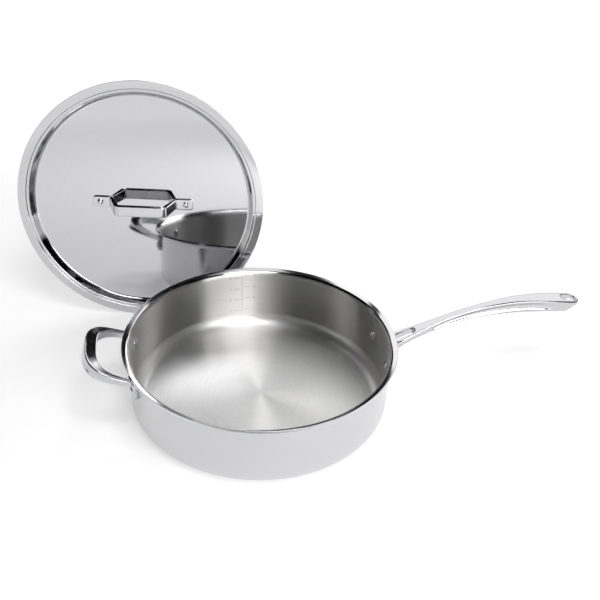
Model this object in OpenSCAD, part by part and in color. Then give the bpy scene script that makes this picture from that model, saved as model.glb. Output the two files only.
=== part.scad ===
// Saute pan with a flared pouring lip, a forked long handle, a loop helper handle and a drop-in lid.
// The pan stands on z = 0 with its axis on Z, and its long handle runs along +X.
// The lid is off the pan: it stands on its edge behind the pan and leans back.

/* [Pan] */
// Inside diameter of the wall
inner_d = 282; // [240:1:330]
// Height from the resting face to the top of the lip
pan_h = 80; // [64:1:110]
// Outside radius of the bottom corner
corner_r = 16; // [8:1:22]
// Thickness of the stainless cooking layer
inner_ply_t = 0.5; // [0.3:0.1:0.8]
// Thickness of the aluminium core
core_ply_t = 1.5; // [1:0.1:3]
// Thickness of the stainless outer layer
outer_ply_t = 0.5; // [0.3:0.1:0.8]
// Bend radius of the pouring lip, on its outer face
lip_bend_r = 5; // [4:0.5:9]
// Angle by which the lip turns outwards
lip_turn = 65; // [40:1:80]
// Straight length of the lip past its bend
lip_tail = 3.9; // [1:0.1:5]

/* [Long handle] */
// Length from the wall to the tip
handle_len = 230.5; // [180:0.5:290]
// Height of the fork's top face where it meets the wall
handle_root_z = 56; // [50:0.5:66]
// Rise from that height to the handle's highest point
handle_rise = 49.5; // [30:0.5:70]
// Width over both prongs at the wall
fork_w = 26; // [22:0.5:34]
// Width at the waist
waist_w = 10; // [9:0.5:16]
// Width at the end, across the hanging eye
grip_w = 21; // [18:0.5:28]
// Depth of the section at the grip
grip_h = 15; // [11:0.5:18]
// Depth of the flute in each side
flute_d = 2.4; // [0.5:0.1:3]
// Width of the fork's slot at its round end
slot_w = 9; // [6:0.5:10]
// Distance from the wall to the slot's round end
slot_len = 34.5; // [24:0.5:44]
// Width of the hanging eye
eye_w = 13; // [10:0.5:14]
// Length of the hanging eye
eye_len = 18; // [15:0.5:22]
// Height of the rivets' centres
handle_rivet_z = 49.5; // [40:0.5:60]
// Distance between the two rivets
handle_rivet_gap = 59; // [44:0.5:80]
// Height of the flange on the wall
flange_h = 22; // [18:0.5:28]

/* [Helper handle] */
// Distance between the centres of its two arms at the wall
helper_w = 84; // [70:1:110]
// Reach from the wall to the middle of the grip, along the loop
helper_reach = 47; // [38:1:70]
// Angle by which the loop rises
helper_tilt = 20; // [0:1:30]
// Height of the arms' centres at the wall
helper_arm_z = 65; // [60:0.5:67]
// Width of the section at the grip
helper_grip_w = 13; // [9:0.5:16]
// Depth of the section at the grip
helper_grip_h = 13.5; // [9:0.5:16]
// Width of each arm
helper_arm_w = 6; // [5:0.5:9]
// Depth of each arm
helper_arm_h = 7; // [5:0.5:8]
// Width of each pad
pad_w = 18; // [14:0.5:24]
// Height of each pad
pad_h = 21; // [18:0.5:26]
// Height of the pads' centres
pad_z = 59.5; // [52:0.5:60]
// Height of the rivets' centres, below the arms
helper_rivet_z = 56; // [50:0.5:57]

/* [Rivets] */
// Shank diameter of the wall rivets
rivet_d = 6; // [4:0.1:7]
// Diameter of the domed heads inside the pan
rivet_head_d = 13; // [9:0.5:16]
// Height of those heads
rivet_head_h = 2.6; // [1.5:0.1:4]
// Thickness of the flange and pads on the wall
plate_t = 4; // [3:0.1:6]
// Radial clearance between a shank and its hole
rivet_gap = 0.05; // [0.02:0.01:0.1]
// Gap between the wall and what is riveted to it
seat_gap = 0.03; // [0.02:0.01:0.1]

/* [Lid] */
// Thickness of the lid sheet
lid_t = 1; // [0.8:0.1:1.4]
// How far the lid's edge stays inside the lip's edge
lid_inset = 1.8; // [1:0.1:3]
// Width of the flat ring that rests on the lip
lid_ring_w = 9.5; // [8.5:0.1:14]
// Depth of the panel below that ring
lid_depth = 12; // [8:0.5:18]
// Drop of the narrow ledge inside the ring
ledge_drop = 1.3; // [1:0.1:2]
// Width of the ledge
ledge_w = 3; // [2.6:0.1:4]
// Radius that the sloping wall takes up
lid_wall_run = 4; // [3:0.1:8]

/* [Lid handle] */
// Distance between its two rivets
lid_rivet_gap = 104; // [90:1:120]
// Height of the grip's outer face above the panel
lid_grip_rise = 38; // [30:1:50]
// Length of the straight grip
lid_grip_len = 56; // [40:1:70]
// Width of the strip
lid_strip_w = 12; // [9:0.5:16]
// Thickness of the strip
lid_strip_t = 6; // [4:0.1:7]
// Thickness of its pads
lid_pad_t = 3; // [2:0.1:4]
// Width of each pad
lid_pad_w = 13; // [11:0.5:16]
// From each rivet outwards to the pad's end
lid_pad_end = 9; // [7:0.5:12]
// From each rivet inwards to the leg's foot
lid_pad_root = 13; // [9:0.5:16]
// Corner radius of each pad
lid_pad_corner_r = 3; // [1:0.5:5]
// Bend radius of the strip at the feet, on its middle line
lid_foot_bend_r = 4; // [4:0.5:7]
// Bend radius of the strip at the grip's ends, on its middle line
lid_grip_bend_r = 5; // [4:0.5:9]
// Shank diameter of the lid rivets
lid_rivet_d = 4; // [3:0.1:5]
// Diameter of the lid rivets' heads
lid_rivet_head_d = 7.5; // [6:0.1:10]

/* [Where the lid stands] */
// Clear distance between the pan's lip and the lid's middle
lid_clear = 82; // [75:1:120]
// Bearing of the lid's middle from the pan's axis
lid_bearing = 120; // [110:1:130]
// Bearing that the lid's outer face looks at
lid_facing = 262.3; // [255:0.1:270]
// Angle by which the lid leans back
lid_lean = 8.1; // [4:0.1:15]
// Turn of the lid about its own axis
lid_turn = -1.7; // [-10:0.1:10]

/* [Hidden] */

wall_t = inner_ply_t + core_ply_t + outer_ply_t;
inner_r = inner_d / 2;
wall_r = inner_r + wall_t;
lip_reach = lip_bend_r * tan(lip_turn / 2) + lip_tail;
lip_z = pan_h - wall_t * sin(lip_turn) - lip_reach * cos(lip_turn);
lip_r = wall_r + lip_reach * sin(lip_turn);
pan_path = bent_path([
    [0, 0, 0],
    [wall_r, 0, corner_r],
    [wall_r, lip_z, lip_bend_r],
    [lip_r, lip_z + lip_reach * cos(lip_turn), 0],
]);

plate_r = wall_r + seat_gap + plate_t;
handle_rivet_angle = asin(handle_rivet_gap / 2 / wall_r);
helper_pad_angle = asin(helper_w / 2 / wall_r);
plate_cut_h = pan_h;

lid_r = lip_r - lid_inset;
ring_in_r = lid_r - lid_ring_w;
ledge_out_r = ring_in_r - 0.6;
ledge_in_r = ledge_out_r - ledge_w;
panel_r = ledge_in_r - lid_wall_run;
lid_path = bent_path([
    [0, -lid_depth, 0],
    [panel_r, -lid_depth, 3.5],
    [ledge_in_r, -ledge_drop, 1.4],
    [ledge_out_r, -ledge_drop, 0.5],
    [ring_in_r, 0, 1.4],
    [lid_r, 0, 0],
]);
lid_away = lip_r + lid_clear;
lid_z = lid_r * cos(lid_lean) + lid_t * sin(lid_lean);

// Each curve below is a list of [share of the length, value], followed smoothly by the sections
// of the long handle from the wall to the tip.
rise_curve = [[0, 0], [0.07, 0.2], [0.15, 0.365], [0.23, 0.52], [0.35, 0.725], [0.5, 0.9],
    [0.66, 1], [0.82, 0.985], [1, 0.9]];
width_curve = [[0, fork_w], [0.07, fork_w * 0.82], [0.15, fork_w * 0.64], [0.23, waist_w * 1.2],
    [0.35, waist_w], [0.5, waist_w * 1.08], [0.66, grip_w * 0.7], [0.82, grip_w * 0.93],
    [0.92, grip_w], [1, grip_w]];
depth_curve = [[0, grip_h * 0.9], [0.07, grip_h * 0.56], [0.15, grip_h * 0.52], [0.23, grip_h * 0.63],
    [0.35, grip_h * 0.74], [0.5, grip_h * 0.88], [0.66, grip_h], [0.82, grip_h * 0.96],
    [0.92, grip_h * 0.88], [0.95, grip_h * 0.6], [0.965, grip_h * 0.4], [1, grip_h * 0.36]];
flute_curve = [[0, 0], [0.18, 0], [0.24, 0.5], [0.35, 1], [0.6, 1], [0.8, 0.8], [0.87, 0], [1, 0]];

steel = [0.8, 0.8, 0.81];
polished = [0.86, 0.86, 0.87];
aluminium = [0.7, 0.72, 0.74];

// Points along straight lines between corners [x, y, bend radius], with an arc at each bend.
function unit(v) = v / norm(v);
function left(v) = [-v[1], v[0]];
function bend(before, corner, after) =
    let (
        at = [corner[0], corner[1]],
        u = unit(at - [before[0], before[1]]),
        v = unit([after[0], after[1]] - at),
        turn = atan2(u[0] * v[1] - u[1] * v[0], u * v),
        side = turn > 0 ? 1 : -1,
        start = at - u * corner[2] * tan(abs(turn) / 2),
        centre = start + left(u) * corner[2] * side,
        steps = ceil(abs(turn) / 7.5)
    )
    corner[2] == 0
        ? [at]
        : [for (i = [0:steps]) centre + turned(start - centre, turn * i / steps)];
function turned(v, a) = [v[0] * cos(a) - v[1] * sin(a), v[0] * sin(a) + v[1] * cos(a)];
function bent_path(corners) = [
    for (i = [0:len(corners) - 1])
        each (i == 0 || i == len(corners) - 1)
            ? [[corners[i][0], corners[i][1]]]
            : bend(corners[i - 1], corners[i], corners[i + 1])
];

// The same path moved to its left by a distance, with mitred corners.
function path_normal(path, i) =
    let (
        a = left(unit(path[max(i, 1)] - path[max(i, 1) - 1])),
        last = len(path) - 1,
        b = left(unit(path[min(i + 1, last)] - path[min(i + 1, last) - 1]))
    )
    (a + b) / (1 + a * b);
function moved_path(path, d) = [for (i = [0:len(path) - 1]) path[i] + path_normal(path, i) * d];
function backwards(list) = [for (i = [len(list) - 1:-1:0]) list[i]];
function sheet_section(path, d0, d1) = concat(moved_path(path, d0), backwards(moved_path(path, d1)));

// A smooth curve through a list of [place, value].
function slope_at(curve, i) =
    let (a = curve[max(i - 1, 0)], b = curve[min(i + 1, len(curve) - 1)]) (b[1] - a[1]) / (b[0] - a[0]);
function span_of(curve, t, i = 0) = i >= len(curve) - 2 || t <= curve[i + 1][0] ? i : span_of(curve, t, i + 1);
function follow(curve, t) =
    let (
        i = span_of(curve, t),
        p = curve[i],
        q = curve[i + 1],
        run = q[0] - p[0],
        u = (t - p[0]) / run
    )
    p[1] * (2 * pow(u, 3) - 3 * u * u + 1) + slope_at(curve, i) * run * (pow(u, 3) - 2 * u * u + u)
    + q[1] * (3 * u * u - 2 * pow(u, 3)) + slope_at(curve, i + 1) * run * (pow(u, 3) - u * u);

// Outline of a cast bar's section: a rectangle w by h with round edges and a hollow flute in both sides.
function bar_section(w, h, edge, flute) =
    let (
        r = min(edge, w * 0.35, h * 0.35),
        half = [
            for (a = [0, 30, 60, 90]) [w / 2 - r + r * sin(a), h / 2 - r + r * cos(a)],
            for (s = [0.4, 0.2, 0, -0.2, -0.4]) [
                w / 2 - flute * (1 - pow(s / 0.42, 2)),
                s * (h - 2 * r)
            ],
            for (a = [90, 120, 150, 180]) [w / 2 - r + r * sin(a), -h / 2 + r + r * cos(a)],
        ]
    )
    concat(half, [for (p = backwards(half)) [-p[0], p[1]]]);

// Solid skin over a row of rings that have the same number of points, closed at both ends.
module loft(rings) {
    n = len(rings[0]);
    last = len(rings) - 1;
    middles = [for (ring = [rings[0], rings[last]]) [for (k = [0:2]) sum([for (p = ring) p[k]]) / n]];
    points = concat([for (ring = rings) each ring], middles);
    sides = [
        for (i = [0:last - 1], j = [0:n - 1])
            let (a = i * n + j, b = i * n + (j + 1) % n)
            each [[a, b, b + n], [a, b + n, a + n]]
    ];
    caps = [
        for (j = [0:n - 1])
            each [
                [(j + 1) % n, j, (last + 1) * n],
                [last * n + j, last * n + (j + 1) % n, (last + 1) * n + 1],
            ]
    ];
    polyhedron(points, concat(sides, caps), convexity = 8);
}
function sum(list, i = 0) = i >= len(list) ? 0 : list[i] + sum(list, i + 1);

// A cast piece, whose bar, flange and cuts flow into one skin at their own size.
module cast() {
    resize([0, 0, 0]) children();
}

module rounded_rect(w, h, r) {
    square([w, h - 2 * r], center = true);
    square([w - 2 * r, h], center = true);
    for (x = [-1, 1], y = [-1, 1])
        translate([x * (w / 2 - r), y * (h / 2 - r)]) circle(r, $fn = 48);
}

// A flat outline wrapped on the outside of the wall at a bearing and height.
module wall_plate(bearing, z) {
    intersection() {
        difference() {
            cylinder(r = plate_r, h = plate_cut_h, $fn = 180);
            translate([0, 0, -1]) cylinder(r = wall_r + seat_gap, h = plate_cut_h + 2, $fn = 180);
        }
        rotate([0, 0, bearing]) translate([0, 0, z]) rotate([90, 0, 90])
            linear_extrude(plate_r + 1) children();
    }
}

// What stands inside the wall's outer face, taken out of anything that is riveted on.
module wall_core() {
    translate([0, 0, -1]) cylinder(r = wall_r + seat_gap, h = pan_h + 2, $fn = 180);
}

module rivet_hole(bearing, z) {
    rotate([0, 0, bearing]) translate([inner_r - 10, 0, z]) rotate([0, 90, 0])
        cylinder(d = rivet_d + 2 * rivet_gap, h = plate_t + wall_t + 20, $fn = 48);
}

module dome(d, h) {
    ball = (pow(d / 2, 2) + h * h) / (2 * h);
    intersection() {
        translate([0, 0, h - ball]) sphere(ball, $fn = 96);
        cylinder(d = d, h = h, $fn = 48);
    }
}

// Head inside the pan, shank through wall and plate, and the closed end on the plate's face.
module wall_rivet(bearing, z) {
    head_x = sqrt(pow(inner_r, 2) - pow(rivet_head_d / 2, 2)) - seat_gap;
    rotate([0, 0, bearing]) translate([head_x, 0, z]) rotate([0, 90, 0]) {
        rotate([180, 0, 0]) dome(rivet_head_d, rivet_head_h);
        cylinder(d = rivet_d, h = plate_r - head_x + seat_gap, $fn = 48);
        translate([0, 0, plate_r - head_x + seat_gap]) dome(rivet_d + 4, 1.8);
    }
}

function rivet_bearings(middle, spread) = [middle - spread, middle + spread];
handle_bearings = rivet_bearings(0, handle_rivet_angle);
helper_bearings = rivet_bearings(180, helper_pad_angle);

module all_rivet_holes() {
    for (bearing = handle_bearings) rivet_hole(bearing, handle_rivet_z);
    for (bearing = helper_bearings) rivet_hole(bearing, helper_rivet_z);
}

// One layer of the clad sheet, between two distances from its outer face.
module ply(from, to) {
    difference() {
        rotate_extrude($fn = 180) polygon(sheet_section(pan_path, from, to));
        all_rivet_holes();
    }
}

module outer_ply() {
    color(steel) ply(0, outer_ply_t);
}

module core_ply() {
    color(aluminium) ply(outer_ply_t, outer_ply_t + core_ply_t);
}

module inner_ply() {
    color(steel) ply(outer_ply_t + core_ply_t, wall_t);
}

// The long handle's bar: sections across the X axis, narrowing to a round tip about the eye.
tip_r = grip_w / 2;
tip_x = wall_r + handle_len - tip_r;
function handle_share(x) = min(max((x - wall_r) / handle_len, 0), 1);
function handle_top(x) = handle_root_z + handle_rise * follow(rise_curve, handle_share(x));
function handle_ring(x, w) =
    let (
        share = handle_share(x),
        h = follow(depth_curve, share),
        flute = flute_d * max(follow(flute_curve, share), 0)
    )
    [for (p = bar_section(w, h, 1.6, flute)) [x, p[0], handle_top(x) - h / 2 + p[1]]];
module handle_bar() {
    start_x = wall_r - 6;
    steps = 44;
    loft(concat(
        [for (i = [0:steps]) let (x = start_x + (tip_x - start_x) * i / steps)
            handle_ring(x, follow(width_curve, handle_share(x)))],
        [for (a = [12:12:84]) handle_ring(tip_x + tip_r * sin(a), 2 * tip_r * cos(a))]
    ));
}

// Gap between the two prongs, seen from above, wider at the wall.
module fork_slot() {
    end_x = wall_r + slot_len - slot_w / 2;
    linear_extrude(pan_h + handle_rise) {
        translate([end_x, 0]) circle(d = slot_w, $fn = 48);
        polygon([
            [wall_r - 8, -slot_w * 0.66], [end_x, -slot_w / 2],
            [end_x, slot_w / 2], [wall_r - 8, slot_w * 0.66],
        ]);
    }
}

module hanging_eye() {
    straight = eye_len - eye_w;
    translate([tip_x - 1.5, 0, 0]) linear_extrude(pan_h + handle_rise) {
        for (x = [-straight / 2, straight / 2]) translate([x, 0]) circle(d = eye_w, $fn = 48);
        square([straight, eye_w], center = true);
    }
}

module long_handle() {
    color(polished) cast() difference() {
        union() {
            difference() {
                handle_bar();
                fork_slot();
                hanging_eye();
                wall_core();
            }
            wall_plate(0, handle_rivet_z)
                rounded_rect(handle_rivet_gap + flange_h, flange_h, flange_h / 2 - 0.01);
        }
        for (bearing = handle_bearings) rivet_hole(bearing, handle_rivet_z);
    }
}

// The helper handle's loop, drawn flat as half a squared ellipse with its roots inside the wall,
// and then tilted up at the wall.
loop_power = 2 / 3.3;
loop_x = wall_r * cos(helper_pad_angle);
loop_root = 6;
loop_steps = 44;
pad_corner_r = 5;
function signed_power(v, p) = sign(v) * pow(abs(v), p);
function loop_point(a) = [
    helper_reach * signed_power(sin(a), loop_power),
    helper_w / 2 * signed_power(cos(a), loop_power),
];
loop_path = [
    [-loop_root, helper_w / 2],
    for (i = [0:loop_steps]) loop_point(180 * i / loop_steps),
    [-loop_root, -helper_w / 2],
];
function loop_ring(i) =
    let (
        at = loop_path[i],
        out = path_normal(loop_path, i),
        fat = pow(max(at[0], 0) / helper_reach, 2),
        w = helper_arm_w + (helper_grip_w - helper_arm_w) * fat,
        h = helper_arm_h + (helper_grip_h - helper_arm_h) * fat
    )
    [for (p = bar_section(w, h, 1.5, 0.9 * fat)) [at[0] + out[0] * p[0], at[1] + out[1] * p[0], p[1]]];

module helper_loop() {
    translate([loop_x, 0, helper_arm_z]) rotate([0, -helper_tilt, 0])
        loft([for (i = [0:len(loop_path) - 1]) loop_ring(i)]);
}

module helper_handle() {
    color(polished) cast() difference() {
        union() {
            rotate([0, 0, 180]) difference() {
                helper_loop();
                wall_core();
            }
            for (bearing = helper_bearings)
                wall_plate(bearing, pad_z) rounded_rect(pad_w, pad_h, pad_corner_r);
        }
        for (bearing = helper_bearings) rivet_hole(bearing, helper_rivet_z);
    }
}

// The lid is drawn flat, its ring's outer face on z = 0, and then stood on its edge.
module at_lid() {
    translate([lid_away * cos(lid_bearing), lid_away * sin(lid_bearing), lid_z])
        rotate([0, 0, lid_facing]) rotate([0, 90 - lid_lean, 0]) rotate([0, 0, lid_turn]) children();
}

module lid_rivet_places() {
    for (y = [-1, 1]) translate([0, y * lid_rivet_gap / 2, -lid_depth]) children();
}

module lid_panel() {
    color(polished) at_lid() difference() {
        rotate_extrude($fn = 180) polygon(sheet_section(lid_path, -lid_t, 0));
        lid_rivet_places() translate([0, 0, -lid_t - 1])
            cylinder(d = lid_rivet_d + 2 * rivet_gap, h = lid_t + 2, $fn = 48);
    }
}

// Side view of the strip's middle line: flat on the panel, up a sloping leg, and along the grip.
foot_y = lid_rivet_gap / 2 - lid_pad_root;
lid_pad_len = lid_pad_root + lid_pad_end;
strip_low = lid_pad_t / 2;
strip_high = lid_grip_rise - lid_strip_t / 2;
strip_inlet = 4.5;
strip_path = bent_path([
    [-foot_y - strip_inlet, strip_low, 0],
    [-foot_y, strip_low, lid_foot_bend_r],
    [-lid_grip_len / 2, strip_high, lid_grip_bend_r],
    [0, strip_high, 0],
    [lid_grip_len / 2, strip_high, lid_grip_bend_r],
    [foot_y, strip_low, lid_foot_bend_r],
    [foot_y + strip_inlet, strip_low, 0],
]);
module lid_strip() {
    function strip_ring(i) =
        let (
            at = strip_path[i],
            up = unit(path_normal(strip_path, i)),
            high = (at[1] - strip_low) / (strip_high - strip_low),
            w = lid_strip_w + high,
            foot_t = lid_pad_t - 0.2,
            t = foot_t + (lid_strip_t - foot_t) * min(high * 4, 1)
        )
        [for (p = bar_section(w, t, 1.2, 0.5 * high)) [-p[0], at[0] + up[0] * p[1], at[1] + up[1] * p[1]]];
    loft([for (i = [0:len(strip_path) - 1]) strip_ring(i)]);
}

module lid_handle() {
    color(polished) at_lid() cast() difference() {
        union() {
            translate([0, 0, -lid_depth + seat_gap]) lid_strip();
            for (side = [-1, 1])
                translate([0, side * (foot_y + lid_pad_len / 2), -lid_depth + seat_gap])
                    linear_extrude(lid_pad_t) rounded_rect(lid_pad_w, lid_pad_len, lid_pad_corner_r);
        }
        lid_rivet_places() translate([0, 0, -1])
            cylinder(d = lid_rivet_d + 2 * rivet_gap, h = lid_pad_t + 20, $fn = 48);
    }
}

// Head under the lid, shank through sheet and pad, and a low domed end on the pad.
module lid_rivet(side) {
    base = -lid_t - seat_gap;
    length = lid_t + lid_pad_t + 3 * seat_gap;
    color(polished) at_lid() translate([0, side * lid_rivet_gap / 2, -lid_depth + base]) {
        rotate([180, 0, 0]) dome(lid_rivet_head_d, 1.8);
        cylinder(d = lid_rivet_d, h = length, $fn = 48);
        translate([0, 0, length]) dome(lid_rivet_head_d, 2);
    }
}

outer_ply();
core_ply();
inner_ply();
long_handle();
for (i = [0, 1]) {
    color(polished) wall_rivet(handle_bearings[i], handle_rivet_z);
}
helper_handle();
for (i = [0, 1]) {
    color(polished) wall_rivet(helper_bearings[i], helper_rivet_z);
}
lid_panel();
lid_handle();
for (i = [0, 1]) {
    lid_rivet(2 * i - 1);
}
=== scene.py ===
import math

import bmesh
import bpy
from mathutils import Matrix, Vector


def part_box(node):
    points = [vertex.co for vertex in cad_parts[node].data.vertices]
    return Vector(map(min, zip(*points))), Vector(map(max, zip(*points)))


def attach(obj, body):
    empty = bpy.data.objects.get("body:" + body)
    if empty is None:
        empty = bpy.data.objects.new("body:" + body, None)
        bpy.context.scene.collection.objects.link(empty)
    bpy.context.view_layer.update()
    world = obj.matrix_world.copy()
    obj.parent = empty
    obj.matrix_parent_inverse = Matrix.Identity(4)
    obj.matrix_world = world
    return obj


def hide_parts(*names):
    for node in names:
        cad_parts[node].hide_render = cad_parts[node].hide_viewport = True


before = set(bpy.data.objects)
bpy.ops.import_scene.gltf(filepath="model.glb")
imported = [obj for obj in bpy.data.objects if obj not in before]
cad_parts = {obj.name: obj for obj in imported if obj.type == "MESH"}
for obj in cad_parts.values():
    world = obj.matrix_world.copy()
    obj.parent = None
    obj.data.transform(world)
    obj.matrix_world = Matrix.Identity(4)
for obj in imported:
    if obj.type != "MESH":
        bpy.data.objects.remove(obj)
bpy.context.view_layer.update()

# The pan's clad sheet: one disc of aluminium between two stainless skins, drawn into a straight wall
# over a round corner, and flared at the top into a pouring lip. Satin outside, brushed in rings inside
# and buffed on the lip. The inside floor and bottom corner get a paler, rougher copy of the cooking
# finish; its paler tone is a painted highlight. The sandwich of the bonded layers shows only at the
# lip's trimmed edge.
inner_low, inner_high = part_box("inner_ply")
outer_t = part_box("core_ply")[0].z
core_t = inner_low.z - outer_t
inner_t = 0.0005
sheet_t = outer_t + core_t + inner_t
pan_h = inner_high.z
lip_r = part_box("outer_ply")[1].x
lip_bend_r = 0.005
lip_tail = 0.0039
lip_turn = math.radians(65)
lip_reach = lip_bend_r * math.tan(lip_turn / 2) + lip_tail
wall_r = lip_r - lip_reach * math.sin(lip_turn)
inside_r = wall_r - sheet_t
lip_buffing_r = inside_r + 0.0018
lip_bend_z = pan_h - sheet_t * math.sin(lip_turn) - lip_reach * math.cos(lip_turn)
bottom_corner_r = 0.016
skin_edge_r = 0.0003
turns = 288
axis_r = 1e-7
crease = math.radians(35)
ring_stretch = 3
waves_per_m = 18
line_relief = 0.00002


def rounded(corners, step=math.radians(5)):
    """Points along straight lines between corners (x, y, bend radius), with an arc at each bend."""
    points = []
    for i, (x, y, r) in enumerate(corners):
        here = Vector((x, y))
        if r == 0:
            points.append(here)
            continue
        a = (here - Vector(corners[i - 1][:2])).normalized()
        b = (Vector(corners[(i + 1) % len(corners)][:2]) - here).normalized()
        turn = math.atan2(a.x * b.y - a.y * b.x, a.dot(b))
        start = here - a * r * math.tan(abs(turn) / 2)
        centre = start + Vector((-a.y, a.x)) * math.copysign(r, turn)
        n = max(2, math.ceil(abs(turn) / step))
        for k in range(n + 1):
            points.append(centre + Matrix.Rotation(turn * k / n, 2) @ (start - centre))
    return points


def moved_sideways(path, d):
    """The same path moved to its left by a distance, with mitred corners."""
    runs = [(q - p).normalized() for p, q in zip(path, path[1:])]
    lefts = [Vector((-v.y, v.x)) for v in runs]
    out = []
    for i, p in enumerate(path):
        a = lefts[max(i - 1, 0)]
        b = lefts[min(i, len(lefts) - 1)]
        out.append(p + (a + b) / (1 + a.dot(b)) * d)
    return out


def layer_outline(path, d0, d1, edge0, edge1):
    """Closed outline between two distances from a path, with its two end corners rounded."""
    one = moved_sideways(path, d0)
    two = moved_sideways(path, d1)
    corners = [(p.x, p.y, 0) for p in one[:-1]]
    corners.append((one[-1].x, one[-1].y, edge0))
    corners.append((two[-1].x, two[-1].y, edge1))
    corners += [(p.x, p.y, 0) for p in reversed(two[:-1])]
    return rounded(corners)


def new_piece(name, bm):
    """A named object in the scene from a mesh in the making, smooth but for its sharp creases."""
    bmesh.ops.recalc_face_normals(bm, faces=bm.faces)
    mesh = bpy.data.meshes.new(name)
    bm.to_mesh(mesh)
    bm.free()
    mesh.shade_smooth()
    mesh.set_sharp_from_angle(angle=crease)
    piece = bpy.data.objects.new(name, mesh)
    bpy.context.scene.collection.objects.link(piece)
    return piece


def spun(name, outline, place=Matrix.Identity(4), steps=turns):
    """A closed outline of (radius, height) spun round its own axis, then set in its place.

    Each point keeps where it was before it was placed, since the brushing runs round that axis.
    """
    bm = bmesh.new()
    own = bm.verts.layers.float_vector.new("own_place")
    rings = []
    for p in outline:
        if p.x < axis_r:
            rings.append([bm.verts.new((0, 0, p.y))] * steps)
            continue
        angles = [2 * math.pi * k / steps for k in range(steps)]
        rings.append([bm.verts.new((p.x * math.cos(a), p.x * math.sin(a), p.y)) for a in angles])
    for one, two in zip(rings, rings[1:] + rings[:1]):
        if one[0] is one[1] and two[0] is two[1]:
            continue
        for k in range(steps):
            m = (k + 1) % steps
            corners = list(dict.fromkeys((one[k], one[m], two[m], two[k])))
            bm.faces.new(corners)
    for v in bm.verts:
        v[own] = v.co
    bmesh.ops.transform(bm, matrix=place, verts=bm.verts)
    return new_piece(name, bm)


def brushing_rings(nodes, link, lines):
    """Where the grain is looked up, drawn out into fine rings round the piece's axis, and the bare place."""
    place = nodes.new("ShaderNodeAttribute")
    place.attribute_name = "own_place"
    axes = nodes.new("ShaderNodeSeparateXYZ")
    link(place.outputs["Vector"], axes.inputs[0])
    flat = nodes.new("ShaderNodeCombineXYZ")
    link(axes.outputs["X"], flat.inputs["X"])
    link(axes.outputs["Y"], flat.inputs["Y"])
    radius = nodes.new("ShaderNodeVectorMath")
    radius.operation = "LENGTH"
    link(flat.outputs[0], radius.inputs[0])
    bearing = nodes.new("ShaderNodeVectorMath")
    bearing.operation = "NORMALIZE"
    link(flat.outputs[0], bearing.inputs[0])
    run = nodes.new("ShaderNodeMath")
    run.operation = "ADD"
    link(radius.outputs["Value"], run.inputs[0])
    link(axes.outputs["Z"], run.inputs[1])
    across = nodes.new("ShaderNodeMath")
    across.operation = "MULTIPLY"
    across.inputs[1].default_value = lines
    link(run.outputs[0], across.inputs[0])
    lift = nodes.new("ShaderNodeCombineXYZ")
    link(across.outputs[0], lift.inputs["Z"])
    spread = nodes.new("ShaderNodeVectorMath")
    spread.operation = "MULTIPLY_ADD"
    spread.inputs[1].default_value = (ring_stretch, ring_stretch, 0)
    link(bearing.outputs[0], spread.inputs[0])
    link(lift.outputs[0], spread.inputs[2])
    return spread.outputs[0], place.outputs["Vector"]


def steel(name, colour, roughness, brushed=0.0, lines=1500, line_depth=0.1, streak=0.03, waviness=0.02,
          in_rings=True):
    """Stainless steel, its grain in rings round the piece's own axis or else the same every way.

    Brushed is how far the gloss spreads across the lines, lines how many there are to a metre, streak how
    much they differ in tone, and waviness how uneven the polish is.
    """
    made = bpy.data.materials.new(name)
    made.use_nodes = True
    nodes = made.node_tree.nodes
    link = made.node_tree.links.new
    shader = nodes["Principled BSDF"]
    shader.inputs["Metallic"].default_value = 1
    shader.inputs["Anisotropic"].default_value = brushed
    shader.inputs["Anisotropic Rotation"].default_value = 0.25
    if in_rings:
        grain_at, surface_at = brushing_rings(nodes, link, lines)
    else:
        surface_at = nodes.new("ShaderNodeTexCoord").outputs["Object"]
        grain_at = surface_at
    if brushed:
        tangent = nodes.new("ShaderNodeTangent")
        tangent.direction_type = "RADIAL"
        tangent.axis = "Z"
        link(tangent.outputs[0], shader.inputs["Tangent"])
    grain = nodes.new("ShaderNodeTexNoise")
    grain.inputs["Scale"].default_value = 1 if in_rings else lines
    grain.inputs["Detail"].default_value = 3
    link(grain_at, grain.inputs["Vector"])
    waves = nodes.new("ShaderNodeTexNoise")
    waves.inputs["Scale"].default_value = waves_per_m
    waves.inputs["Detail"].default_value = 2
    link(surface_at, waves.inputs["Vector"])
    rough = nodes.new("ShaderNodeMapRange")
    rough.inputs["To Min"].default_value = roughness - waviness
    rough.inputs["To Max"].default_value = roughness + waviness
    link(waves.outputs["Fac"], rough.inputs["Value"])
    link(rough.outputs["Result"], shader.inputs["Roughness"])
    tone = nodes.new("ShaderNodeMix")
    tone.data_type = "RGBA"
    tone.inputs["A"].default_value = (*[c * (1 - streak) for c in colour], 1)
    tone.inputs["B"].default_value = (*[min(c * (1 + streak), 1) for c in colour], 1)
    link(grain.outputs["Fac"], tone.inputs["Factor"])
    link(tone.outputs["Result"], shader.inputs["Base Color"])
    bump = nodes.new("ShaderNodeBump")
    bump.inputs["Strength"].default_value = line_depth
    bump.inputs["Distance"].default_value = line_relief
    link(grain.outputs["Fac"], bump.inputs["Height"])
    link(bump.outputs["Normal"], shader.inputs["Normal"])
    return made


def placed(piece, material, body, slot, *nodes):
    """Gives the piece its finish, its body to ride on and the CAD nodes that it stands for."""
    piece.data.materials.clear()
    piece.data.materials.append(material)
    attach(piece, body)
    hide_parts(*nodes)


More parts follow.
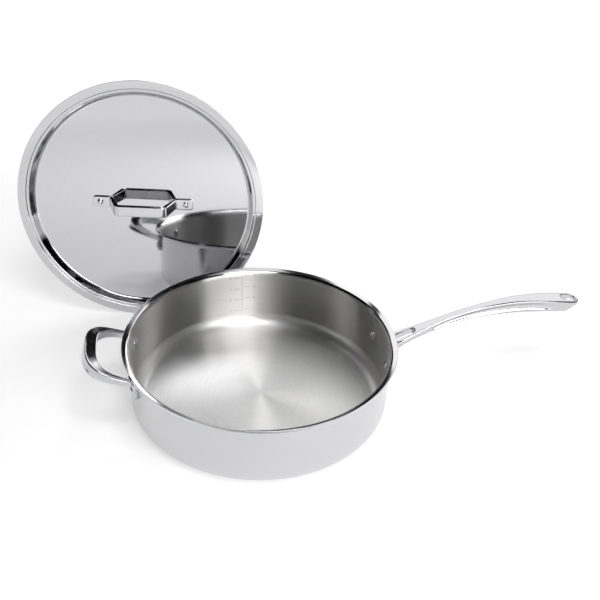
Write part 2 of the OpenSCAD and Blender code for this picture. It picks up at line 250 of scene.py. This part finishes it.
pan_path = rounded([
    (0, 0, 0),
    (wall_r, 0, bottom_corner_r),
    (wall_r, lip_bend_z, lip_bend_r),
    (lip_r, lip_bend_z + lip_reach * math.cos(lip_turn), 0),
])
satin_outside = steel("satin_outside", (0.6, 0.6, 0.61), 0.22, brushed=0.8, line_depth=0.1)
bare_aluminium = steel("bare_aluminium", (0.72, 0.73, 0.74), 0.3, brushed=0.4)
cooking_finish = steel("cooking_finish", (0.62, 0.615, 0.61), 0.33, brushed=1.0, lines=900, line_depth=0.1,
                       streak=0.1)
pan_layers = [
    ("pan_outside", 0, outer_t, skin_edge_r, 0, satin_outside, "outer_steel", "outer_ply"),
    ("pan_core", outer_t, outer_t + core_t, 0, 0, bare_aluminium, "aluminium_core", "core_ply"),
    ("pan_inside", outer_t + core_t, sheet_t, 0, skin_edge_r, cooking_finish, "cooking_surface", "inner_ply"),
]
# A paler, rougher copy of the cooking finish for the inside floor and bottom corner: the rougher grain is the
# finish, the paler tone is a painted highlight.
cooking_floor_painted_highlight = steel("cooking_floor_painted_highlight", (0.74, 0.735, 0.73), 0.4, brushed=0.8, lines=900, line_depth=0.1,
                      streak=0.1)
buffed_lip = steel("buffed_lip", (0.62, 0.62, 0.63), 0.12, brushed=0.5, lines=900, line_depth=0.04)
for name, near, far, near_edge, far_edge, finish, slot, node in pan_layers:
    layer = spun(name, layer_outline(pan_path, near, far, near_edge, far_edge))
    placed(layer, finish, "pan", slot, node)
    layer.data.materials.append(buffed_lip)
    layer.data.materials.append(cooking_floor_painted_highlight)
    for face in layer.data.polygons:
        if face.center.z > lip_bend_z and face.center.xy.length > lip_buffing_r:
            face.material_index = 1
        # The inside floor and bottom corner take the paler copy, whose paler tone is a painted highlight.
        elif name == "pan_inside" and face.center.z < bottom_corner_r:
            face.material_index = 2

# The measuring marks on the inside of the wall: a laser-dulled upright line with quarts ticked on its
# left and litres on its right, each with a plain number.
mark_bearing = math.radians(90.4)
mark_low_z = 0.0210
mark_high_z = 0.0735
mark_line_w = 0.0004
mark_lift = 0.00004
quart_z = [0.0227, 0.0387, 0.0546, 0.0705]
litre_z = [0.0245, 0.0410, 0.0575, 0.0740]
tick_len = 0.0085
tick_gap = 0.002
number_h = 0.0036
number_h_share = 0.7
number_gap = 0.0045
bar_step = 0.002


def on_wall(across, z):
    """A point on the inside of the wall, so far to the right of the upright line and so high."""
    a = mark_bearing - across / inside_r
    r = inside_r - mark_lift
    return (r * math.cos(a), r * math.sin(a), z)


def bar_on_wall(bm, across0, across1, z0, z1):
    """A flat bar that follows the wall."""
    steps = max(1, round((across1 - across0) / bar_step))
    edges = [across0 + (across1 - across0) * k / steps for k in range(steps + 1)]
    lower = [bm.verts.new(on_wall(a, z0)) for a in edges]
    upper = [bm.verts.new(on_wall(a, z1)) for a in edges]
    for k in range(steps):
        bm.faces.new((lower[k], lower[k + 1], upper[k + 1], upper[k]))


def number_on_wall(bm, words, across, z):
    """A plain number, its middle at that place on the wall."""
    drawn = bpy.data.curves.new("number", "FONT")
    drawn.body = words
    drawn.size = number_h / number_h_share
    drawn.align_x = "CENTER"
    drawn.align_y = "CENTER"
    stand_in = bpy.data.objects.new("number", drawn)
    flat = bpy.data.meshes.new_from_object(stand_in)
    made = [bm.verts.new(on_wall(across + v.co.x, z + v.co.y)) for v in flat.vertices]
    for face in flat.polygons:
        bm.faces.new([made[i] for i in face.vertices])
    bpy.data.objects.remove(stand_in)


marks = bmesh.new()
bar_on_wall(marks, -mark_line_w / 2, mark_line_w / 2, mark_low_z, mark_high_z)
for side, heights in ((-1, quart_z), (1, litre_z)):
    for count, z in enumerate(heights, 1):
        ends = sorted((side * tick_gap, side * (tick_gap + tick_len)))
        bar_on_wall(marks, ends[0], ends[1], z - mark_line_w / 2, z + mark_line_w / 2)
        number_on_wall(marks, str(count), side * (tick_gap + tick_len + number_gap), z)
mark_finish = steel("laser_dulled", (0.3, 0.3, 0.3), 0.6, line_depth=0.05, in_rings=False)
measuring_marks = new_piece("measuring_marks", marks)
measuring_marks.data.materials.append(mark_finish)
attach(measuring_marks, "pan")

# The long handle: one stainless casting, polished all over. Two prongs rise from a flange on the wall
# and join in a narrow waist, and the bar widens into the grip, fluted along both sides, with a hanging
# eye in its round end.
handle_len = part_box("long_handle")[1].x - wall_r
root_z = 0.056
rise = 0.0495
fork_w = 0.026
waist_w = 0.010
grip_w = 0.021
grip_h = 0.015
flute_d = 0.0024
flute_half = 0.42
edge_share = 0.35
bar_edge_r = 0.0016
bar_inlet = 0.006
slot_w = 0.009
slot_len = 0.0345
slot_inlet = 0.008
slot_splay = 0.66
eye_w = 0.013
eye_len = 0.018
eye_inset = 0.0015
cutter_low = 0.02
cutter_high = 0.13
plate_t = 0.004
plate_inlet = 0.02
plate_overcut = 0.002
core_overcut = 0.01
seat_gap = 0.00003
casting_grain = 0.0005
casting_passes = 5
rise_curve = [(0, 0), (0.07, 0.2), (0.15, 0.365), (0.23, 0.52), (0.35, 0.725), (0.5, 0.9),
              (0.66, 1), (0.82, 0.985), (1, 0.9)]
width_curve = [(0, fork_w), (0.07, fork_w * 0.82), (0.15, fork_w * 0.64), (0.23, waist_w * 1.2),
               (0.35, waist_w), (0.5, waist_w * 1.08), (0.66, grip_w * 0.7), (0.82, grip_w * 0.93),
               (0.92, grip_w), (1, grip_w)]
depth_curve = [(0, grip_h * 0.9), (0.07, grip_h * 0.56), (0.15, grip_h * 0.52), (0.23, grip_h * 0.63),
               (0.35, grip_h * 0.74), (0.5, grip_h * 0.88), (0.66, grip_h), (0.82, grip_h * 0.96),
               (0.92, grip_h * 0.88), (0.95, grip_h * 0.6), (0.965, grip_h * 0.4), (1, grip_h * 0.36)]
flute_curve = [(0, 0), (0.18, 0), (0.24, 0.5), (0.35, 1), (0.6, 1), (0.8, 0.8), (0.87, 0), (1, 0)]


def follow(curve, t):
    """A smooth curve through a list of (place, value)."""
    i = 0
    while i < len(curve) - 2 and t > curve[i + 1][0]:
        i += 1

    def slope(k):
        a = curve[max(k - 1, 0)]
        b = curve[min(k + 1, len(curve) - 1)]
        return (b[1] - a[1]) / (b[0] - a[0])

    (t0, v0), (t1, v1) = curve[i], curve[i + 1]
    run = t1 - t0
    u = (t - t0) / run
    start = v0 * (2 * u**3 - 3 * u**2 + 1) + slope(i) * run * (u**3 - 2 * u**2 + u)
    return start + v1 * (3 * u**2 - 2 * u**3) + slope(i + 1) * run * (u**3 - u**2)


def bar_section(w, h, edge, flute):
    """A rectangle with round edges and a hollow flute in each side. Its left half mirrors the right."""
    r = min(edge, w * edge_share, h * edge_share)
    half = [(w / 2 - r + r * math.sin(a), h / 2 - r + r * math.cos(a))
            for a in [math.radians(15 * k) for k in range(7)]]
    for s in [flute_half * (1 - k / 6) for k in range(1, 12)]:
        half.append((w / 2 - flute * (1 - (s / flute_half) ** 2), s * (h - 2 * r)))
    half += [(w / 2 - r + r * math.sin(a), -h / 2 + r + r * math.cos(a))
             for a in [math.radians(90 + 15 * k) for k in range(7)]]
    return half + [(-x, y) for x, y in reversed(half)]


def skin(bm, rings):
    """A closed skin over a row of rings that have the same number of points."""
    made = [[bm.verts.new(p) for p in ring] for ring in rings]
    for one, two in zip(made, made[1:]):
        for k in range(len(one)):
            m = (k + 1) % len(one)
            bm.faces.new((one[k], one[m], two[m], two[k]))
    bm.faces.new(made[0])
    bm.faces.new(made[-1])


def prism(bm, outline, low, high):
    """A straight prism over an outline of (x, y)."""
    lower = [bm.verts.new((x, y, low)) for x, y in outline]
    upper = [bm.verts.new((x, y, high)) for x, y in outline]
    for k in range(len(outline)):
        m = (k + 1) % len(outline)
        bm.faces.new((lower[k], lower[m], upper[m], upper[k]))
    bm.faces.new(lower)
    bm.faces.new(upper)


def round_end(x, y, r, start, end, steps=24):
    """Points of an arc round (x, y), its two angles in degrees."""
    angles = [math.radians(start + (end - start) * k / steps) for k in range(steps + 1)]
    return [(x + r * math.cos(a), y + r * math.sin(a)) for a in angles]


def full_turn(r):
    """Points round a full circle."""
    return round_end(0, 0, r, 0, 360 - 360 / turns, turns - 1)


def round_cornered(w, h, r):
    """Outline of a rectangle with round corners, its middle at the origin."""
    outline = []
    for x, y, start in ((1, 1, 0), (-1, 1, 90), (-1, -1, 180), (1, -1, 270)):
        outline += round_end(x * (w / 2 - r), y * (h / 2 - r), r, start, start + 90, 12)
    return outline


def applied(piece):
    """The piece's mesh with its modifiers carried out."""
    settled = bpy.context.evaluated_depsgraph_get()
    settled.update()
    mesh = bpy.data.meshes.new_from_object(piece.evaluated_get(settled))
    piece.modifiers.clear()
    piece.data = mesh


def cut(piece, bm, operation="DIFFERENCE"):
    """Takes the shape in bm away from the piece, or keeps only what the two share."""
    tool = new_piece("tool", bm)
    work = piece.modifiers.new("cut", "BOOLEAN")
    work.operation = operation
    work.solver = "EXACT"
    work.object = tool
    applied(piece)
    bpy.data.objects.remove(tool)


def cast_in_one(piece, others, grain, passes):
    """Joins the pieces into one, whose edges and inner corners are softly rounded."""
    whole = bmesh.new()
    for p in [piece, *others]:
        whole.from_mesh(p.data)
    whole.to_mesh(piece.data)
    whole.free()
    for p in others:
        bpy.data.objects.remove(p)
    remesh = piece.modifiers.new("casting", "REMESH")
    remesh.mode = "VOXEL"
    remesh.voxel_size = grain
    soften = piece.modifiers.new("polishing", "SMOOTH")
    soften.factor = 0.5
    soften.iterations = passes
    applied(piece)
    piece.data.shade_smooth()


def plate_on_wall(name, bearing, z, w, h, r):
    """A round-cornered plate bent to the outside of the wall."""
    near = wall_r + seat_gap
    far = near + plate_t
    bm = bmesh.new()
    upright = Matrix.Rotation(bearing, 4, "Z") @ Matrix.Translation((0, 0, z))
    upright = upright @ Matrix(((0, 0, 1, 0), (1, 0, 0, 0), (0, 1, 0, 0), (0, 0, 0, 1)))
    prism(bm, round_cornered(w, h, r), near - plate_inlet, far + plate_overcut)
    bmesh.ops.transform(bm, matrix=upright, verts=bm.verts)
    plate = new_piece(name, bm)
    ring = bmesh.new()
    prism(ring, full_turn(far), 0, pan_h)
    cut(plate, ring, "INTERSECT")
    cut(plate, wall_core())
    return plate


def wall_core():
    """What stands inside the wall's outer face."""
    bm = bmesh.new()
    prism(bm, full_turn(wall_r + seat_gap), -core_overcut, pan_h + core_overcut)
    return bm


def handle_share(x):
    """How far along the handle that is, from 0 at the wall to 1 at its end."""
    return min(max((x - wall_r) / handle_len, 0), 1)


def handle_ring(x, w):
    """The bar's section at x, with a width of its own."""
    share = handle_share(x)
    h = follow(depth_curve, share)
    top = root_z + rise * follow(rise_curve, share)
    flute = flute_d * max(follow(flute_curve, share), 0)
    return [(x, p, top - h / 2 + q) for p, q in bar_section(w, h, bar_edge_r, flute)]


def middle_z(node):
    """The height of a CAD piece's middle."""
    low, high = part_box(node)
    return (low.z + high.z) / 2


tip_r = grip_w / 2
tip_x = wall_r + handle_len - tip_r
bar = bmesh.new()
bar_start = wall_r - bar_inlet
bar_steps = 130
tip_steps = 15
rings = []
for k in range(bar_steps + 1):
    x = bar_start + (tip_x - bar_start) * k / bar_steps
    rings.append(handle_ring(x, follow(width_curve, handle_share(x))))
for k in range(1, tip_steps):
    a = math.pi / 2 * k / tip_steps
    rings.append(handle_ring(tip_x + tip_r * math.sin(a), 2 * tip_r * math.cos(a)))
skin(bar, rings)
long_handle = new_piece("long_handle_cast", bar)
slot_end = wall_r + slot_len - slot_w / 2
fork_slot = bmesh.new()
slot_outline = round_end(slot_end, 0, slot_w / 2, -90, 90)
slot_outline += [(wall_r - slot_inlet, side * slot_w * slot_splay) for side in (1, -1)]
prism(fork_slot, slot_outline, cutter_low, cutter_high)
cut(long_handle, fork_slot)
hanging_eye = bmesh.new()
eye_x = tip_x - eye_inset
eye_straight = (eye_len - eye_w) / 2
eye_outline = round_end(eye_x + eye_straight, 0, eye_w / 2, -90, 90)
eye_outline += round_end(eye_x - eye_straight, 0, eye_w / 2, 90, 270)
prism(hanging_eye, eye_outline, cutter_low, cutter_high)
cut(long_handle, hanging_eye)
cut(long_handle, wall_core())
rivet_z = middle_z("long_handle_rivet_1")
rivet_gap = 0.059
flange_h = 0.022
flange_corner_r = flange_h / 2 - 0.0001
flange = plate_on_wall("flange", 0, rivet_z, rivet_gap + flange_h, flange_h, flange_corner_r)
cast_in_one(long_handle, [flange], casting_grain, casting_passes)
polished_cast = steel("polished_cast", (0.55, 0.55, 0.56), 0.1, lines=160, line_depth=0.3, in_rings=False)
placed(long_handle, polished_cast, "pan", "polished_cast", "long_handle")

# The rivets of both pan handles: a shank through the wall, a low polished head inside the pan and a
# closed end upset on the flange or pad outside.
rivet_d = 0.006
rivet_head_d = 0.013
rivet_head_h = 0.0026
closed_end_d = 0.010
closed_end_h = 0.0018
rivet_turns = 64
rivet_step = math.radians(10)
rivet_polish = steel("rivet_polish", (0.62, 0.62, 0.63), 0.12, lines=2500, line_depth=0.15)


def rivet_outline(head_d, head_h, length, end_d, end_h):
    """From the head's middle, out round its edge, along the shank and over the closed end.

    The crowns' flats and bends are shares of the head's and the end's own sizes.
    """
    r = rivet_d / 2
    return rounded([
        (0, -head_h, 0),
        (head_d * 0.22, -head_h, head_d * 0.3),
        (head_d / 2, -head_h * 0.25, head_h * 0.25),
        (head_d / 2, 0, 0),
        (r, 0, 0),
        (r, length, 0),
        (end_d / 2, length, 0),
        (end_d / 2, length + end_h * 0.4, end_h * 0.4),
        (end_d * 0.2, length + end_h, end_d * 0.25),
        (0, length + end_h, 0),
    ], rivet_step)


def wall_rivet(name, bearing, z, node):
    """A rivet through the wall and a plate on it, its head just off the inside of the wall."""
    head_x = math.sqrt(inside_r**2 - (rivet_head_d / 2) ** 2) - seat_gap
    length = wall_r + seat_gap + plate_t - head_x + seat_gap
    outline = rivet_outline(rivet_head_d, rivet_head_h, length, closed_end_d, closed_end_h)
    place = Matrix.Rotation(bearing, 4, "Z") @ Matrix.Translation((head_x, 0, z))
    place = place @ Matrix.Rotation(math.pi / 2, 4, "Y")
    placed(spun(name, outline, place, rivet_turns), rivet_polish, "pan", "rivets", node)


rivet_bearing = math.asin(rivet_gap / 2 / wall_r)
wall_rivet("long_handle_rivet_near", -rivet_bearing, rivet_z, "long_handle_rivet_1")
wall_rivet("long_handle_rivet_far", rivet_bearing, rivet_z, "long_handle_rivet_2")

# The helper handle: a second casting, a squared loop that rises away from the wall, deep and wide at
# the grip and slim at its two arms, which spread into pads riveted to the wall.
loop_w = 0.084
loop_reach = 0.047
loop_tilt = math.radians(20)
arm_z = 0.065
arm_w = 0.006
arm_h = 0.007
grip_loop_w = 0.013
grip_loop_h = 0.0135
loop_power = 2 / 3.3
loop_root = 0.006
loop_edge_r = 0.0015
loop_flute_d = 0.0009
loop_steps = 120
pad_w = 0.018
pad_h = 0.021
pad_corner_r = 0.005
pad_z = 0.0595
helper_rivet_z = middle_z("helper_handle_rivet_1")
pad_bearing = math.asin(loop_w / 2 / wall_r)
loop_x = wall_r * math.cos(pad_bearing)


def signed_power(v, p):
    """A power that keeps the sign, so that a circle becomes a rounded square."""
    return math.copysign(abs(v) ** p, v)


loop_line = [Vector((-loop_root, loop_w / 2))]
for k in range(loop_steps + 1):
    a = math.pi * k / loop_steps
    x = loop_reach * signed_power(math.sin(a), loop_power)
    loop_line.append(Vector((x, loop_w / 2 * signed_power(math.cos(a), loop_power))))
loop_line.append(Vector((-loop_root, -loop_w / 2)))
loop_rings = []
for k, p in enumerate(loop_line):
    ahead = loop_line[min(k + 1, len(loop_line) - 1)]
    behind = loop_line[max(k - 1, 0)]
    along = (ahead - behind).normalized()
    fat = (max(p.x, 0) / loop_reach) ** 2
    w = arm_w + (grip_loop_w - arm_w) * fat
    h = arm_h + (grip_loop_h - arm_h) * fat
    section = bar_section(w, h, loop_edge_r, loop_flute_d * fat)
    loop_rings.append([(p.x - along.y * q, p.y + along.x * q, s) for q, s in section])
loop = bmesh.new()
skin(loop, loop_rings)
tilted = Matrix.Rotation(math.pi, 4, "Z") @ Matrix.Translation((loop_x, 0, arm_z))
tilted = tilted @ Matrix.Rotation(-loop_tilt, 4, "Y")
bmesh.ops.transform(loop, matrix=tilted, verts=loop.verts)
helper = new_piece("helper_handle_cast", loop)
cut(helper, wall_core())
pads = [plate_on_wall(f"pad_{side}", math.pi + side * pad_bearing, pad_z, pad_w, pad_h, pad_corner_r)
        for side in (-1, 1)]
cast_in_one(helper, pads, casting_grain, casting_passes)
placed(helper, polished_cast, "pan", "polished_cast", "helper_handle")
wall_rivet("helper_rivet_far", math.pi - pad_bearing, helper_rivet_z, "helper_handle_rivet_1")
wall_rivet("helper_rivet_near", math.pi + pad_bearing, helper_rivet_z, "helper_handle_rivet_2")

# The lid: one disc of stainless sheet pressed into a flat ring that rests on the lip, a narrow ledge,
# a sloping wall that drops into the pan and a flat panel, and polished to a mirror. It stands on its
# edge behind the pan and leans back.
lid_t = 0.001
lid_inset = 0.0018
lid_r = lip_r - lid_inset
lid_ring_w = 0.0095
lid_depth = 0.012
ledge_drop = 0.0013
ledge_w = 0.003
ledge_step_w = 0.0006
lid_wall_w = 0.004
ledge_out_r = lid_r - lid_ring_w - ledge_step_w
ledge_in_r = ledge_out_r - ledge_w
panel_r = ledge_in_r - lid_wall_w
panel_bend_r = 0.0035
ring_bend_r = 0.0014
ledge_bend_r = 0.0005
lid_edge_r = 0.0004
lid_behind = 0.082
lid_away = lip_r + lid_behind
lid_bearing = math.radians(120)
lid_facing = math.radians(262.3)
lid_lean = math.radians(8.1)
lid_turn = math.radians(-1.7)
lid_z = lid_r * math.cos(lid_lean) + lid_t * math.sin(lid_lean)
lid_place = Matrix.Translation((lid_away * math.cos(lid_bearing), lid_away * math.sin(lid_bearing), lid_z))
lid_place = lid_place @ Matrix.Rotation(lid_facing, 4, "Z") @ Matrix.Rotation(math.pi / 2 - lid_lean, 4, "Y")
lid_place = lid_place @ Matrix.Rotation(lid_turn, 4, "Z")
lid_path = rounded([
    (0, -lid_depth, 0),
    (panel_r, -lid_depth, panel_bend_r),
    (ledge_in_r, -ledge_drop, ring_bend_r),
    (ledge_out_r, -ledge_drop, ledge_bend_r),
    (lid_r - lid_ring_w, 0, ring_bend_r),
    (lid_r, 0, 0),
])
lid_mirror = steel("lid_mirror", (0.56, 0.56, 0.57), 0.045, lines=900, line_depth=0.02, waviness=0.01)
lid = spun("lid_sheet", layer_outline(lid_path, -lid_t, 0, lid_edge_r, lid_edge_r), lid_place)
placed(lid, lid_mirror, "lid", "lid_mirror", "lid_panel")

# The lid's handle: a strip of stainless steel bent into a low bridge, flat where it is gripped, with a
# flat pad at each foot, and polished.
lid_grip_rise = 0.038
lid_grip_len = 0.056
lid_strip_w = 0.012
lid_strip_t = 0.006
lid_strip_flare = 0.001
lid_strip_edge_r = 0.0012
lid_strip_flute_d = 0.0005
lid_pad_t = 0.003
lid_foot_t = lid_pad_t - 0.0002
lid_pad_w = 0.013
lid_pad_end = 0.009
lid_pad_root = 0.013
lid_pad_corner_r = 0.003
lid_foot_bend_r = 0.004
lid_grip_bend_r = 0.005
lid_rivet_gap = 0.104
foot_y = lid_rivet_gap / 2 - lid_pad_root
strip_low = lid_pad_t / 2
strip_high = lid_grip_rise - lid_strip_t / 2
strip_inlet = 0.0045
strip_grain = 0.0004
strip_passes = 4
full_t_by = 0.25
strip_line = rounded([
    (-foot_y - strip_inlet, strip_low, 0),
    (-foot_y, strip_low, lid_foot_bend_r),
    (-lid_grip_len / 2, strip_high, lid_grip_bend_r),
    (0, strip_high, 0),
    (lid_grip_len / 2, strip_high, lid_grip_bend_r),
    (foot_y, strip_low, lid_foot_bend_r),
    (foot_y + strip_inlet, strip_low, 0),
])
strip_rings = []
for k, p in enumerate(strip_line):
    ahead = strip_line[min(k + 1, len(strip_line) - 1)]
    behind = strip_line[max(k - 1, 0)]
    along = (ahead - behind).normalized()
    high = (p.y - strip_low) / (strip_high - strip_low)
    t = lid_foot_t + (lid_strip_t - lid_foot_t) * min(high / full_t_by, 1)
    w = lid_strip_w + lid_strip_flare * high
    section = bar_section(w, t, lid_strip_edge_r, lid_strip_flute_d * high)
    strip_rings.append([(q, p.x - along.y * s, p.y + along.x * s) for q, s in section])
strip = bmesh.new()
skin(strip, strip_rings)
lid_handle = new_piece("lid_handle_strip", strip)
feet = []
for side in (-1, 1):
    foot_len = lid_pad_root + lid_pad_end
    middle = side * (foot_y + foot_len / 2)
    outline = round_cornered(lid_pad_w, foot_len, lid_pad_corner_r)
    foot = bmesh.new()
    prism(foot, [(x, y + middle) for x, y in outline], 0, lid_pad_t)
    feet.append(new_piece("foot", foot))
cast_in_one(lid_handle, feet, strip_grain, strip_passes)
lid_handle.data.transform(lid_place @ Matrix.Translation((0, 0, -lid_depth + seat_gap)))
placed(lid_handle, polished_cast, "lid", "polished_cast", "lid_handle")

# The lid handle's rivets: a low head under the lid and a domed end on each pad.
lid_rivet_r = 0.002
lid_rivet_head_d = 0.0075
lid_rivet_head_h = 0.0018
lid_rivet_end_h = 0.002
lid_rivets = [(-1, "lid_rivet_left", "lid_handle_rivet_1"), (1, "lid_rivet_right", "lid_handle_rivet_2")]
for side, name, node in lid_rivets:
    length = lid_t + lid_pad_t + 3 * seat_gap
    outline = rounded([
        (0, -lid_rivet_head_h, 0),
        (lid_rivet_head_d * 0.2, -lid_rivet_head_h, lid_rivet_head_d * 0.3),
        (lid_rivet_head_d / 2, 0, 0),
        (lid_rivet_r, 0, 0),
        (lid_rivet_r, length, 0),
        (lid_rivet_head_d / 2, length, 0),
        (lid_rivet_head_d * 0.2, length + lid_rivet_end_h, lid_rivet_head_d * 0.3),
        (0, length + lid_rivet_end_h, 0),
    ], rivet_step)
    place = lid_place @ Matrix.Translation((0, side * lid_rivet_gap / 2, -lid_depth - lid_t - seat_gap))
    placed(spun(name, outline, place, rivet_turns), rivet_polish, "lid", "rivets", node)

# The table: a wide pale floor. It glows a little, more so far out where the lamps don't reach it, so
# that the metal has an even white surface to reflect and only soft shadows lie round the pan.
floor_r = 9.0
near_r = 0.4
far_r = 2.5
glow_near = 0.42
glow_far = 1.1
floor_mesh = bmesh.new()
bmesh.ops.create_circle(floor_mesh, cap_ends=True, segments=96, radius=floor_r)
floor = new_piece("floor", floor_mesh)
pale = bpy.data.materials.new("pale_floor")
pale.use_nodes = True
pale_nodes = pale.node_tree.nodes
pale_shader = pale_nodes["Principled BSDF"]
pale_shader.inputs["Base Color"].default_value = (0.9, 0.9, 0.9, 1)
pale_shader.inputs["Roughness"].default_value = 0.9
pale_shader.inputs["Specular IOR Level"].default_value = 0.0
pale_shader.inputs["Emission Color"].default_value = (1, 1, 1, 1)
floor_place = pale_nodes.new("ShaderNodeTexCoord")
floor_away = pale_nodes.new("ShaderNodeVectorMath")
floor_away.operation = "LENGTH"
floor_glow = pale_nodes.new("ShaderNodeMapRange")
floor_glow.inputs["From Min"].default_value = near_r
floor_glow.inputs["From Max"].default_value = far_r
floor_glow.inputs["To Min"].default_value = glow_near
floor_glow.inputs["To Max"].default_value = glow_far
pale_link = pale.node_tree.links.new
pale_link(floor_place.outputs["Object"], floor_away.inputs[0])
pale_link(floor_away.outputs["Value"], floor_glow.inputs["Value"])
pale_link(floor_glow.outputs["Result"], pale_shader.inputs["Emission Strength"])
floor.data.materials.append(pale)

# Soft studio light: a large box to the right of the camera, a smaller one high over it, and weaker ones
# behind the pan, over the lid, overhead and to the right. The room is white along the foot of its front
# wall and dark elsewhere.
lamp_aim_z = 0.05


def soft_box(name, bearing, elevation, away, width, height, glow):
    """A rectangular lamp in that direction from the pan, as bright as a white floor of that glow.

    Its bearing is in degrees from the long handle, and its elevation in degrees above the table.
    """
    light = bpy.data.lights.new(name, "AREA")
    light.shape = "RECTANGLE"
    light.size = width
    light.size_y = height
    light.energy = glow * math.pi * width * height
    lamp = bpy.data.objects.new(name, light)
    lift = math.radians(elevation)
    turn = math.radians(bearing)
    toward = Vector((math.cos(lift) * math.cos(turn), math.cos(lift) * math.sin(turn), math.sin(lift)))
    lamp.location = toward * away + Vector((0, 0, lamp_aim_z))
    lamp.rotation_mode = "QUATERNION"
    lamp.rotation_quaternion = toward.to_track_quat("Z", "Y")
    lamp.visible_camera = False
    bpy.context.scene.collection.objects.link(lamp)


soft_box("box_right_of_camera", -69, 27, 1.5, 1.2, 0.65, 4.7)
soft_box("box_over_camera", -81, 69, 1.5, 0.7, 0.42, 8.0)
soft_box("box_behind", 74, 35, 1.6, 2.3, 0.85, 1.4)
soft_box("box_over_lid", 90, 59, 1.6, 0.9, 0.4, 1.6)
soft_box("box_overhead", 53, 80, 1.6, 0.6, 0.4, 1.2)
soft_box("box_right", 10, 35, 1.6, 1.4, 0.9, 0.15)
wall_foot_z = 0.08
wall_fade_z = 0.16
wall_glow = 1.15
world = bpy.data.worlds.new("studio")
bpy.context.scene.world = world
world.use_nodes = True
sky = world.node_tree.nodes
join = world.node_tree.links.new
room = sky["Background"]
direction = sky.new("ShaderNodeTexCoord")
height_of = sky.new("ShaderNodeSeparateXYZ")
fade = sky.new("ShaderNodeMapRange")
fade.inputs["From Min"].default_value = wall_foot_z
fade.inputs["From Max"].default_value = wall_fade_z
fade.inputs["To Min"].default_value = wall_glow
fade.inputs["To Max"].default_value = 0.0
front_half = sky.new("ShaderNodeMath")
front_half.operation = "LESS_THAN"
front_half.inputs[1].default_value = 0.0
front_glow = sky.new("ShaderNodeMath")
front_glow.operation = "MULTIPLY"
join(direction.outputs["Generated"], height_of.inputs[0])
join(height_of.outputs["Z"], fade.inputs["Value"])
join(height_of.outputs["Y"], front_half.inputs[0])
join(fade.outputs["Result"], front_glow.inputs[0])
join(front_half.outputs[0], front_glow.inputs[1])
join(front_glow.outputs[0], room.inputs["Color"])
backdrop = sky.new("ShaderNodeBackground")
backdrop.inputs["Color"].default_value = (1, 1, 1, 1)
seen = sky.new("ShaderNodeLightPath")
either = sky.new("ShaderNodeMixShader")
join(seen.outputs["Is Camera Ray"], either.inputs["Fac"])
join(room.outputs["Background"], either.inputs[1])
join(backdrop.outputs["Background"], either.inputs[2])
join(either.outputs["Shader"], sky["World Output"].inputs["Surface"])

# The camera stands where the photograph was taken from: to the left of the front, looking down. Its
# focal length and its small shift are in pixels of the photograph.
photo_w = 600
focal_px = 748
axis_right_px = 0.7
axis_down_px = 18.5
camera_at = (-0.1133, -0.6520, 0.5591)
camera_bearing = math.radians(-13.37)
camera_down = math.radians(34.35)
camera_roll = math.radians(3.23)
camera = bpy.data.cameras.new("camera")
camera.sensor_width = 36
camera.lens = camera.sensor_width * focal_px / photo_w
camera.shift_x = axis_right_px / photo_w
camera.shift_y = axis_down_px / photo_w
camera.clip_end = 50
viewer = bpy.data.objects.new("camera", camera)
bpy.context.scene.collection.objects.link(viewer)
viewer.matrix_world = (
    Matrix.Translation(camera_at)
    @ Matrix.Rotation(camera_bearing, 4, "Z")
    @ Matrix.Rotation(math.pi / 2 - camera_down, 4, "X")
    @ Matrix.Rotation(camera_roll, 4, "Z")
)
bpy.context.scene.camera = viewer
bpy.context.scene.view_settings.view_transform = "Standard"
